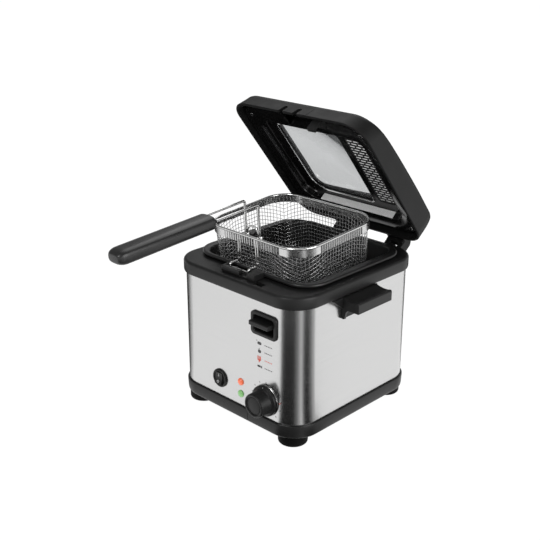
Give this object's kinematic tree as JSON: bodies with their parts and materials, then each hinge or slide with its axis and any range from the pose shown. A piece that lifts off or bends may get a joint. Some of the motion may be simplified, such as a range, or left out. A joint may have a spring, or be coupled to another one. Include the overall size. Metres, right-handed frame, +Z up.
{
  "type": "deep fryer",
  "caption": "Compact household deep fryer: square steel housing, hinged lid with window and vents, wire basket with long handle hung to drain above a removable tank.",
  "frame": {"origin": "on the surface the feet stand on, under the middle of the whole object's box", "axes": "+X to the right as seen from the control panel, +Y from the control panel towards the lid hinge, +Z up"},
  "size_m": [0.2434, 0.393, 0.3565],
  "materials": {
    "black_plastic": "fine matte texture",
    "gloss_black": "polished",
    "steel": "fine brushed",
    "bright_wire": "bright",
    "rubber": "matte",
    "tank_coating": "smooth non-stick",
    "window": "polished",
    "red_lens": "translucent",
    "green_lens": "translucent",
    "heat_resin": "moulded",
    "copper": "drawn",
    "heater_sheath": "oxidised",
    "filter_felt": "felted"
  },
  "bodies": {
    "fryer": {"foot_front_left": "rubber", "foot_front_right": "rubber", "foot_back_left": "rubber", "foot_back_right": "rubber", "tank_gasket": "rubber", "base_tray": "black_plastic", "top_collar": "black_plastic", "basket_rest": "black_plastic", "cord_gland": "black_plastic", "carry_handle_left": "black_plastic", "carry_handle_right": "black_plastic", "switch_bezel": "black_plastic", "latch_bezel": "black_plastic", "steel_housing": "steel", "heat_shield": "steel", "hinge_pin_left": "steel", "hinge_pin_right": "steel", "dial_ring": "steel", "drain_hook": "bright_wire", "hinge_spring_left": "bright_wire", "hinge_spring_right": "bright_wire", "lever_spring": "bright_wire", "oil_tank": "tank_coating", "red_lamp_lens": "red_lens", "green_lamp_lens": "green_lens", "thermostat_body": "heat_resin", "terminal_block": "heat_resin", "thermal_cutout": "heat_resin", "sensor_capillary": "copper", "sensor_bulb": "copper", "heating_element": "heater_sheath"},
    "lid": {"lid_shell": "black_plastic", "lid_inner_panel": "gloss_black", "lid_inner_plate": "gloss_black", "window_pane": "window", "window_frame": "bright_wire", "vent_grille": "black_plastic", "filter_pad": "filter_felt", "steam_baffle": "bright_wire", "lid_hook": "black_plastic", "lid_screw_front_left": "steel", "lid_screw_front_right": "steel", "lid_screw_back_left": "steel", "lid_screw_back_right": "steel"},
    "basket": {"basket_rim_wire": "bright_wire", "basket_band": "steel", "basket_mesh": "steel", "basket_bracket_left": "bright_wire", "basket_bracket_right": "bright_wire", "handle_wire_left": "bright_wire", "handle_wire_right": "bright_wire", "handle_eyelet_left": "bright_wire", "handle_eyelet_right": "bright_wire", "handle_bridge": "bright_wire", "handle_grip": "black_plastic"},
    "knob": {"temperature_knob": "black_plastic", "thermostat_shaft": "steel"},
    "rocker": {"power_rocker": "black_plastic"},
    "lever": {"release_lever": "black_plastic"}
  },
  "joints": [
    {"name": "lid_hinge", "type": "hinge", "parent": "fryer", "child": "lid", "pos_m": [0, 0.17492, 0.1712], "axis": [-1, 0, 0], "range_deg": [-51.4, 0], "stiffness_Nm_per_rad": 0.6, "springref_deg": 68.75},
    {"name": "basket_lower", "type": "slide", "parent": "fryer", "child": "basket", "axis": [0, -0.0995, 0.995], "range_m": [-0.066, 0]},
    {"name": "temperature_knob_turn", "type": "hinge", "parent": "fryer", "child": "knob", "pos_m": [0.052, -0.04398, 0.0505], "axis": [0, 1, 0], "range_deg": [0, 270]},
    {"name": "power_rocker_tilt", "type": "hinge", "parent": "fryer", "child": "rocker", "pos_m": [-0.0223, -0.04278, 0.051], "axis": [1, 0, 0], "range_deg": [0, 16]},
    {"name": "release_lever_press", "type": "hinge", "parent": "fryer", "child": "lever", "pos_m": [0.05, -0.03828, 0.1435], "axis": [1, 0, 0], "range_deg": [0, 15], "stiffness_Nm_per_rad": 0.05, "springref_deg": -17.19}
  ],
  "couplings": [
    {"joint": "basket_lower", "follows": "lid_hinge", "m_per_rad": 0.0735}
  ]
}
